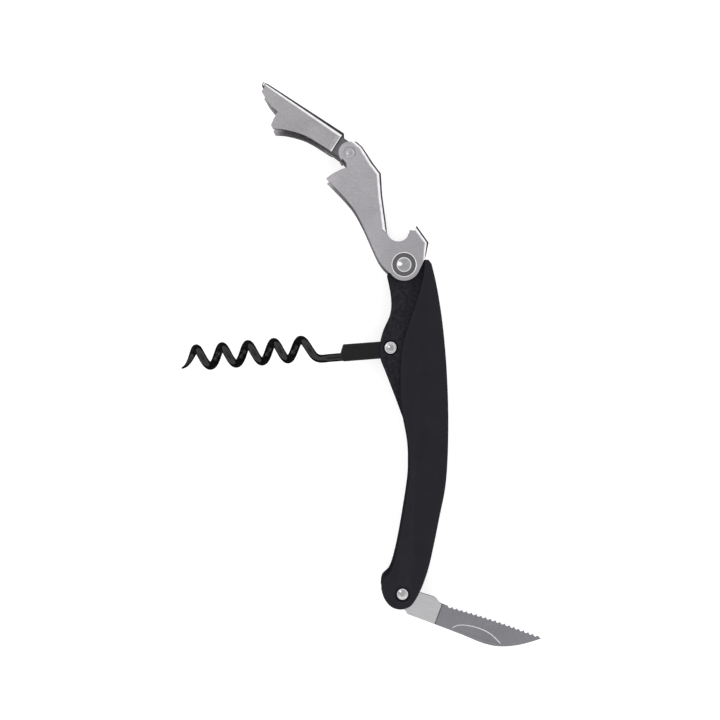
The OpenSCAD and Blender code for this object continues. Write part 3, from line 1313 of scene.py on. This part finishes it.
@dataclass
class BootLever(Channel):
    """The second stage, with a lip at its end and a joggled tongue on the hinge pin."""

    bend_r: float = 2.1
    angle: float = 147.0
    start: float = 5.0
    floor_y: float = -4.4
    tip: float = 35.4
    lip: tuple[Point, ...] = (
        (33.8, -3.2), (33.8, -1.1), (30.6, 0.5), (28.3, 1.2), (26.0, 1.5), (25.9, 4.1), (25.5, 6.2),
        (24.4, 6.8))
    belly: tuple[Point, ...] = ((24.4, 6.8), (20.5, 4.8), (14.2, 3.05), (5.0, 2.8))
    tongue_r: float = 3.0
    tongue_in: float = 4.2
    tongue_out: float = 5.4
    tongue_sides: tuple[float, float] = (-3.15, 2.45)
    tongue_sweep: tuple[float, float] = (90.0, 270.0)
    joggle: tuple[float, float] = (5.3, 8.0)
    joggle_low: float = -3.6
    overlap: float = 0.05
    open_top: float = 12.0
    rolled_r: float = 1.6
    bore_r: float = 1.55
    tip_long: float = 4.0
    tip_round: float = 0.9

    def tongue(self) -> Object:
        """The upper tongue plate with its joggle.

        Returns:
            The tongue, in the boot's own axes.
        """
        (first, last), (low, high) = self.joggle, self.tongue_sides
        line = arc((0, 0), self.tongue_r, *self.tongue_sweep) + [(last, low), (last, high)]
        piece = plate("tongue", line, self.tongue_in, self.tongue_out)
        block = [(first, self.joggle_low), (last, self.joggle_low), (last, high),
                 (first, high + self.overlap)]
        combine(piece, plate("joggle", block, self.tongue_in + self.overlap,
                             self.stack.half - self.rolled_r), "UNION")
        return piece

    def point(self) -> Object:
        """The spine's end, which runs on past the cheeks to a rounded edge.

        Returns:
            The point, in the boot's own axes.
        """
        low, high = self.floor_y, self.floor_y + self.stack.sheet
        back, flat = self.tip - self.tip_long, self.stack.half - self.bend_r
        piece = plate("tip", [(back, low), (self.tip, low), (self.tip, high), (back, high)], -flat, flat)
        round_edges(piece, lambda p, d: p.x > self.tip - NEAR and abs(d.y) > SLOPED, self.tip_round, 4)
        return piece

    def build(self) -> None:
        """Builds and fits the boot."""
        half, low = self.stack.half, self.floor_y
        spine = [(self.start, low), (self.lip[0][0], low)]
        outline = [*spine, *self.lip, *curve(self.belly)[1:]]
        first, last = self.start - 2 * PAST, self.tip + 2 * PAST
        floor = low + self.stack.sheet
        inside = [(first, floor), (last, floor), (last, self.open_top), (first, self.open_top)]
        piece = self.shell("lever_boot", outline, inside, [(spine, self.bend_r)])
        # The cheeks roll over where the sheet steps in to the tongue
        round_edges(piece, lambda p, d: on_level(p, half) and abs(p.x - self.start) < NEAR / 2
                    and abs(d.y) > SLOPED, self.rolled_r, 6)
        combine(piece, self.point(), "UNION")
        upper = self.tongue()
        lower = mirrored(upper, "tongue_below")
        combine(piece, upper, "UNION")
        combine(piece, lower, "UNION")
        self.drill(piece, self.bore_r)
        ease(piece, self.edge_break)
        # Painted highlight: the bends take a lighter steel, besides being glossier
        paint(piece, 1, is_bend)
        # Painted shade: the tongue's outer face, inside the main lever's ears, takes the dark recess steel
        paint(piece, 2, lambda p, n: abs(n.z) > LEVEL and p.x < self.joggle[0]
              and abs(abs(p.z) - self.tongue_out) < NEAR)
        install(piece, Seat(self.pivots["boot_swing"], self.angle), "boot", Slot.LEVER_STEEL,
                [self.details[Detail.SATIN], self.details[Detail.BEND],
                 self.details[Detail.RECESS]], "boot_lever")


# ---------------------------------------------------------------------------
# Worm and knife
# ---------------------------------------------------------------------------

@dataclass
class Worm(Assembly):
    """The coated wire screw with its forged tang."""

    angle: float = 184.7
    wire_d: float = 2.6
    worm_d: float = 8.6
    pitch: float = 8.3
    turns: float = 4.97
    tip_extra: float = 1.2
    tip_turns: float = 0.4
    first_turn_extra: float = 1.4
    start: float = 23.2
    axis_y: float = -1.95
    straight_y: float = 1.65
    straight_to: float = 19.6
    straight_from: float = 13.0
    blend_turn: float = 0.16
    leave_pull: float = 7.0
    meet_pull: float = 9.0
    taper_turns: float = 0.5
    per_turn: int = 36
    bend_steps: int = 12
    section_steps: int = 8
    point_share: float = 0.22
    heel_r: float = 4.1
    heel_sides: tuple[float, float] = (3.2, 2.2)
    tang_t: float = 3.0
    tang_break: float = 0.4
    bore_r: float = 1.45
    tang: tuple[Point, ...] = ((15.0, -2.35), (16.0, 0.3), (16.0, 2.85), (15.0, 3.15))

    def spot_at(self, t: float) -> Vector:
        """Where the wire's middle is.

        Args:
            t: The number of turns from the worm's start.

        Returns:
            The place, in the worm's own axes.
        """
        r = (self.worm_d - self.wire_d) / 2
        r += (self.straight_y - self.axis_y - r) * max(0.0, 1 - t / 0.5) ** 2
        x = self.start + self.pitch * t + self.first_turn_extra * (1 - max(0.0, 1 - t) ** 2)
        x += self.tip_extra * max(0.0, 1 - (self.turns - t) / self.tip_turns) ** 2
        return Vector((x, self.axis_y + r * math.cos(math.tau * t), r * math.sin(math.tau * t)))

    def path(self) -> list[Vector]:
        """The wire's middle line.

        Returns:
            Its points, from inside the tang to the tip.
        """
        end = self.spot_at(self.blend_turn)
        along = (self.spot_at(self.blend_turn + 0.01) - end).normalized() * self.meet_pull
        begin = Vector((self.straight_to, self.straight_y, 0))
        out = Vector((self.leave_pull, 0, 0))
        bent = []
        for i in range(self.bend_steps):
            s = i / self.bend_steps
            q = 1 - s
            bent.append(begin * q * q * (1 + 2 * s) + out * s * q * q
                        + end * s * s * (3 - 2 * s) - along * s * s * q)
        count = round((self.turns - self.blend_turn) * self.per_turn)
        helix = [self.spot_at(self.blend_turn + (self.turns - self.blend_turn) * i / count)
                 for i in range(count + 1)]
        middle = (self.straight_from + self.straight_to) / 2
        return [Vector((x, self.straight_y, 0)) for x in (self.straight_from, middle)] + bent + helix

    def wire(self) -> Object:
        """The wire: a drawn line given a round section and ground to a point.

        Returns:
            The wire, in the worm's own axes.
        """
        points = self.path()
        line = trace("worm_wire", points)
        leave_edit()
        pick(line)
        bpy.ops.object.convert(target="CURVE")
        wire = bpy.context.object
        wire.data.bevel_depth = self.wire_d / 2
        wire.data.bevel_resolution = self.section_steps
        wire.data.use_fill_caps = True
        knots = wire.data.splines[0].points
        ahead = (knots[-1].co.xyz - points[-1]).length < (knots[0].co.xyz - points[-1]).length
        for i, knot in enumerate(knots):
            left = (len(knots) - 1 - i if ahead else i) / self.per_turn
            if left < self.taper_turns:
                share = math.sin(math.pi / 2 * left / self.taper_turns)
                knot.radius = self.point_share + (1 - self.point_share) * share
        bpy.ops.object.convert(target="MESH")
        edit("VERT")
        close_up(weld=True)
        return wire

    def build(self) -> None:
        """Builds and fits the worm."""
        upper, lower = (math.degrees(math.asin(side / self.heel_r)) for side in self.heel_sides)
        outline = arc((0, 0), self.heel_r, 180 - upper, 180 + lower, 14) + list(self.tang)
        piece = plate("worm_screw", outline, -self.tang_t / 2, self.tang_t / 2)
        self.drill(piece, self.bore_r)
        ease(piece, self.tang_break, 4)
        combine(piece, self.wire(), "UNION")
        install(piece, Seat(self.pivots["worm_fold"], self.angle), "worm", Slot.WORM,
                [self.finishes[Slot.WORM]], "worm")


@dataclass
class Knife(Assembly):
    """The serrated foil knife: a plain tang, a hollow-ground blade and a nail nick."""

    angle: float = -17.6
    thick: float = 1.2
    tang_r: float = 3.4
    throat: tuple[Point, ...] = ((6.0, 1.35), (9.9, 1.4), (11.2, 1.05), (12.7, 0.1), (15.4, -0.05))
    teeth_to: Point = (45.8, -0.5)
    teeth: int = 19
    crown: float = 0.4
    scallop: float = 0.65
    spine: tuple[Point, ...] = (
        (47.0, -1.1), (41.2, -4.9), (35.3, -7.35), (29.7, -8.0), (22.1, -7.4), (13.1, -6.9), (3.8, -6.45))
    bore_r: float = 1.45
    nick_low: tuple[Point, ...] = (
        (18.9, -6.6), (20.7, -5.1), (23.8, -4.25), (27.8, -4.1), (31.4, -4.8), (34.2, -6.2), (34.9, -6.7))
    grind_from: tuple[Point, Point] = ((13.5, 2.0), (12.9, -9.0))
    grind_deep: float = 0.07
    relief_deep: float = 0.14
    relief_wide: float = 0.45
    bevel_back: float = 3.0
    edge_t: float = 0.3
    nick_deep: float = 0.5
    nick_rim: float = 0.42
    nick_past: tuple[Point, ...] = ((31.0, -6.95), (26.0, -6.9), (22.0, -6.75))
    nick_tilt: tuple[float, float] = (0.15, 0.985)
    overlap: float = 0.01
    bevel_past: float = 0.6
    bevel_from: float = 14.2
    # How far the grinding tools reach along the blade and above it
    past_tip: float = 52.2
    edge_break: float = 0.06
    tool_top: float = 3.0

    def outline(self) -> list[Point]:
        """The blade's outline with its row of scallops.

        Returns:
            The outline's corners.
        """
        a, b = self.throat[-1], self.teeth_to
        teeth = []
        for i in range(self.teeth):
            for j in range(1, 7):
                t = (i + j / 6) / self.teeth
                teeth.append((a[0] + (b[0] - a[0]) * t,
                              a[1] + (b[1] - a[1]) * t + self.crown * math.sin(math.pi * t)
                              - self.scallop * math.sin(math.pi * j / 6)))
        return (arc((0, 0), self.tang_r, 250, 65, 20) + curve(self.throat, 3) + teeth
                + curve(self.spine) + [(3.3, -5.9)])

    def build(self) -> None:
        """Builds and fits the knife."""
        half = self.thick / 2
        face = half - self.grind_deep
        piece = plate("foil_knife", self.outline(), -half, half)
        (x0, y0), (x1, y1) = self.grind_from
        back = self.throat[-1][1] - self.bevel_back
        for side in Side:
            top = self.tool_top * side.value
            # The ground faces, and a narrow relief where the grinding wheel stops
            for name, wide, height in (("grind", self.past_tip - x0, face),
                                       ("relief", self.relief_wide, half - self.relief_deep)):
                low, high = sorted((height * side.value, top))
                combine(piece, plate(name, [(x0, y0), (x1, y1), (x1 + wide, y1), (x0 + wide, y0)],
                                     low, high))
            # The cutting bevel runs down to the teeth
            shoulder, edge = (face + self.overlap) * side.value, self.edge_t / 2 * side.value
            corners = ((back, shoulder), (self.bevel_past, edge), (self.bevel_past, top), (back, top))
            combine(piece, slab("bevel", [Vector((self.bevel_from, y, z)) for y, z in corners],
                                Vector((self.past_tip - self.bevel_from, 0, 0))))
        arch = curve(self.nick_low)
        combine(piece, plate("nick", arch + list(self.nick_past), face - self.nick_deep, self.tool_top))
        self.drill(piece, self.bore_r)
        round_edges(piece, lambda p, d: abs(p.z - face) < WELD and near_line(p, arch), self.nick_rim, 5)
        ease(piece, self.edge_break)
        paint(piece, 1, lambda p, n: abs(n.z) > SLOPED and p.x > x1 + NEAR
              and abs(p.z) < (half + face) / 2)
        # Painted shade: the relief groove's floor takes the dark recess steel, for a dark line
        relief = half - self.relief_deep
        paint(piece, 2, lambda p, n: abs(n.z) > SLOPED and abs(abs(p.z) - relief) < NEAR / 5
              and abs(p.x - x0) < 2 * self.relief_wide)
        # Painted highlight: the nick's rounded rim takes the lighter tang steel, for a light arc
        paint(piece, 0, lambda p, n: self.nick_tilt[0] < n.z < self.nick_tilt[1] and p.z > 0
              and near_line(p, arch, self.nick_rim + NEAR / 2))
        install(piece, Seat(self.pivots["knife_fold"], self.angle), "knife", Slot.BLADE,
                [self.finishes[Slot.BLADE], self.details[Detail.GROUND],
                 self.details[Detail.RECESS]], "knife_blade")


# ---------------------------------------------------------------------------
# Studio
# ---------------------------------------------------------------------------

@dataclass(frozen=True)
class Studio:
    """A white table under a soft sky, and the camera that looks straight down on it."""

    lens: float = 70.3
    sensor: float = 36.0
    distance: float = 0.450
    offset: tuple[float, float] = (-0.0139, -0.0301)
    floor_size: float = 1.6
    zenith: float = 0.70
    ring: float = 1.55
    horizon: float = 0.03
    backdrop: float = 0.86
    # Heights in the sky where its brightness changes, as shares of straight up
    heights: tuple[float, ...] = (0.0, 0.02, 0.12, 0.84, 0.91, 1.0)
    blue: float = 1.01
    floor_gap: float = 0.0001
    table_dark: Colour = (0.54, 0.54, 0.54, 1.0)
    table_light: Colour = (0.56, 0.56, 0.56, 1.0)
    table_glow: float = 0.60
    card: Colour = (0.06, 0.06, 0.06, 1.0)
    key_place: tuple[float, float, float] = (-0.19, 0.12, 0.80)
    key_size: float = 0.16
    key_power: float = 0.20
    clip: tuple[float, float] = (0.01, 10.0)

    def world(self) -> None:
        """The sky: even overhead, brighter in a ring round it, dark at the horizon."""
        world = bpy.data.worlds.new("studio")
        bpy.context.scene.world = world
        world.use_nodes = True
        tree = world.node_tree
        background = tree.nodes["Background"]
        coordinates = tree.nodes.new("ShaderNodeTexCoord")
        split = tree.nodes.new("ShaderNodeSeparateXYZ")
        ramp = tree.nodes.new("ShaderNodeValToRGB")
        tree.links.new(coordinates.outputs["Generated"], split.inputs["Vector"])
        tree.links.new(split.outputs["Z"], ramp.inputs["Fac"])
        tree.links.new(ramp.outputs["Color"], background.inputs["Color"])
        values = (self.horizon, self.horizon, self.ring, self.ring, self.zenith, self.zenith)
        elements = ramp.color_ramp.elements
        while len(elements) < len(values):
            elements.new(0.5)
        for element, place, value in zip(elements, self.heights, values):
            element.position = place
            element.color = (value, value, value * self.blue, 1.0)
        background.inputs["Strength"].default_value = 1.0
        # Low views look past the table at a pale backdrop, which sheds no light on the tool
        backdrop = tree.nodes.new("ShaderNodeBackground")
        backdrop.inputs["Color"].default_value = (self.backdrop, self.backdrop, self.backdrop, 1.0)
        seen = tree.nodes.new("ShaderNodeLightPath")
        mix = tree.nodes.new("ShaderNodeMixShader")
        tree.links.new(seen.outputs["Is Camera Ray"], mix.inputs["Fac"])
        tree.links.new(background.outputs["Background"], mix.inputs[1])
        tree.links.new(backdrop.outputs["Background"], mix.inputs[2])
        tree.links.new(mix.outputs["Shader"], tree.nodes["World Output"].inputs["Surface"])

    def floor(self, low: float) -> None:
        """The table top, just under the tool.

        Args:
            low: Height of the tool's underside, in metres.
        """
        deselect()
        bpy.ops.mesh.primitive_plane_add(size=self.floor_size, location=(0, 0, low - self.floor_gap))
        table = bpy.context.object
        table.name = "table_top"
        nodes = Nodes("table_white")
        nodes.set(Specular_IOR_Level=0.2)
        cloud = nodes.noise(30, 4)
        nodes.colour(nodes.tint(cloud, self.table_dark, self.table_light))
        nodes.roughness(nodes.between(cloud, 0.7, 0.8))
        nodes.bump(nodes.noise(3000, 3), 0.00001, 0.1)
        nodes.set(Emission_Color=(1.0, 1.0, 1.0, 1.0), Emission_Strength=self.table_glow)
        # The lit table is for the eye; the tool itself is mirrored in a dark one, as on black card
        card = nodes.add("BsdfDiffuse")
        card.inputs["Color"].default_value = self.card
        seen, mix = nodes.add("LightPath"), nodes.add("MixShader")
        nodes.link(seen.outputs["Is Camera Ray"], mix.inputs["Fac"])
        nodes.link(card.outputs["BSDF"], mix.inputs[1])
        nodes.link(nodes.shader.outputs["BSDF"], mix.inputs[2])
        nodes.link(mix.outputs["Shader"], nodes.tree.nodes["Material Output"].inputs["Surface"])
        table.data.materials.append(nodes.material)
        table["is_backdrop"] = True

    def light(self) -> None:
        """One small soft key from the upper left, for the domes' highlights."""
        deselect()
        bpy.ops.object.light_add(type="AREA", location=self.key_place)
        key = bpy.context.object
        key.name = "key"
        key.data.size = self.key_size
        key.data.energy = self.key_power
        key.rotation_euler = (-key.location).to_track_quat("-Z", "Y").to_euler()
        key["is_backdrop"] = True

    def camera(self, pivot: Vector) -> None:
        """The camera, straight above the tool.

        Args:
            pivot: The main lever's pivot, in metres.
        """
        deselect()
        bpy.ops.object.camera_add(location=pivot + Vector((*self.offset, self.distance)),
                                  rotation=(0, 0, 0))
        camera = bpy.context.object
        camera.data.lens = self.lens
        camera.data.sensor_width = self.sensor
        camera.data.clip_start, camera.data.clip_end = self.clip
        bpy.context.scene.camera = camera

    def build(self, low: float, pivot: Vector) -> None:
        """Sets everything up.

        Args:
            low: Height of the tool's underside, in metres.
            pivot: The main lever's pivot, in metres.
        """
        bpy.context.scene.view_settings.view_transform = "Standard"
        self.world()
        self.floor(low)
        self.light()
        self.camera(pivot)


# ---------------------------------------------------------------------------
# Putting it together
# ---------------------------------------------------------------------------

def clear_bench() -> None:
    """Removes whatever the file holds besides the frame."""
    kept = {*frame["bodies"].values(), *frame["nodes"].values()}
    for thing in [thing for thing in bpy.data.objects if thing not in kept]:
        bpy.data.objects.remove(thing)


def make_finishes() -> dict[Slot, Material]:
    """Builds the material of every slot.

    Returns:
        The materials by slot.
    """
    tang = BrushedSteel(-17.6, (0.58, 0.575, 0.585, 1), (0.73, 0.725, 0.735, 1))
    rolled = BrushedSteel(22.918, (0.40, 0.39, 0.38, 1), (0.55, 0.54, 0.53, 1), (0.3, 0.45))
    return {
        Slot.SOFT_TOUCH: SoftTouch().make("soft_touch_black"),
        Slot.BLACK_STEEL: BlackSteel().make("coated_black"),
        Slot.LEVER_STEEL: BrushedSteel(-12.0).make("brushed_stainless"),
        Slot.RIVET: PolishedSteel().make("polished_dome"),
        Slot.BLADE: tang.make("tang_steel"),
        Slot.WORM: GlossCoat().make("dipped_black"),
        Slot.PLAIN_STEEL: rolled.make("rolled_steel"),
        Slot.CORE: Nylon().make("core_nylon"),
    }


def make_details() -> dict[Detail, Material]:
    """Builds the materials that only some faces of a piece have.

    Returns:
        The materials by surface.
    """
    # The recess steel is dark to stand for shade in hollows: painted shade
    recess = BrushedSteel(51.566, (0.10, 0.097, 0.10, 1), (0.17, 0.165, 0.17, 1), (0.30, 0.42))
    satin = BrushedSteel(-33.0, (0.31, 0.30, 0.31, 1), (0.45, 0.435, 0.45, 1), (0.19, 0.30))
    ground = BrushedSteel(-107.0, (0.23, 0.225, 0.243, 1), (0.33, 0.322, 0.345, 1), (0.24, 0.36))
    # The bend steel's colour is lighter than the lever's own, a painted highlight; its low roughness is
    # polish
    bend = PolishedSteel((0.52, 0.51, 0.525, 1), (0.66, 0.65, 0.665, 1))
    return {
        Detail.RECESS: recess.make("stained_recess"),
        Detail.SATIN: satin.make("satin_stainless"),
        Detail.GROUND: ground.make("ground_blade"),
        Detail.BEND: bend.make("burnished_bend"),
    }


def dress_inner(finishes: dict[Slot, Material]) -> None:
    """Gives the CAD nodes that are shown as they are their finishes.

    Args:
        finishes: The materials by slot.
    """
    plain = ("core_pins", "worm_spring", "lever_spacer", "lever_washers", "worm_spacers",
             "knife_spacers", "hinge_washers")
    for name, slot in [(name, Slot.PLAIN_STEEL) for name in plain] + [("handle_core", Slot.CORE)]:
        node = frame["nodes"][name]
        node.data.materials.clear()
        node.data.materials.append(finishes[slot])
        LOG.info("%s: shown as packed, finish %s", name, slot.value)


def main() -> None:
    """Builds the whole scene."""
    logging.basicConfig(level=logging.INFO, format="%(name)s: %(message)s")
    clear_bench()
    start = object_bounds()
    pivots = {joint["name"]: Vector(joint["pos_m"]) for joint in frame["joints"]}
    finishes, details = make_finishes(), make_details()
    dress_inner(finishes)
    for assembly in (Handle, Rivets, MainLever, BootLever, Worm, Knife):
        assembly(pivots, finishes, details).build()
    Studio().build(start[0].z, pivots["lever_swing"])


if __name__ == "__main__":
    main()
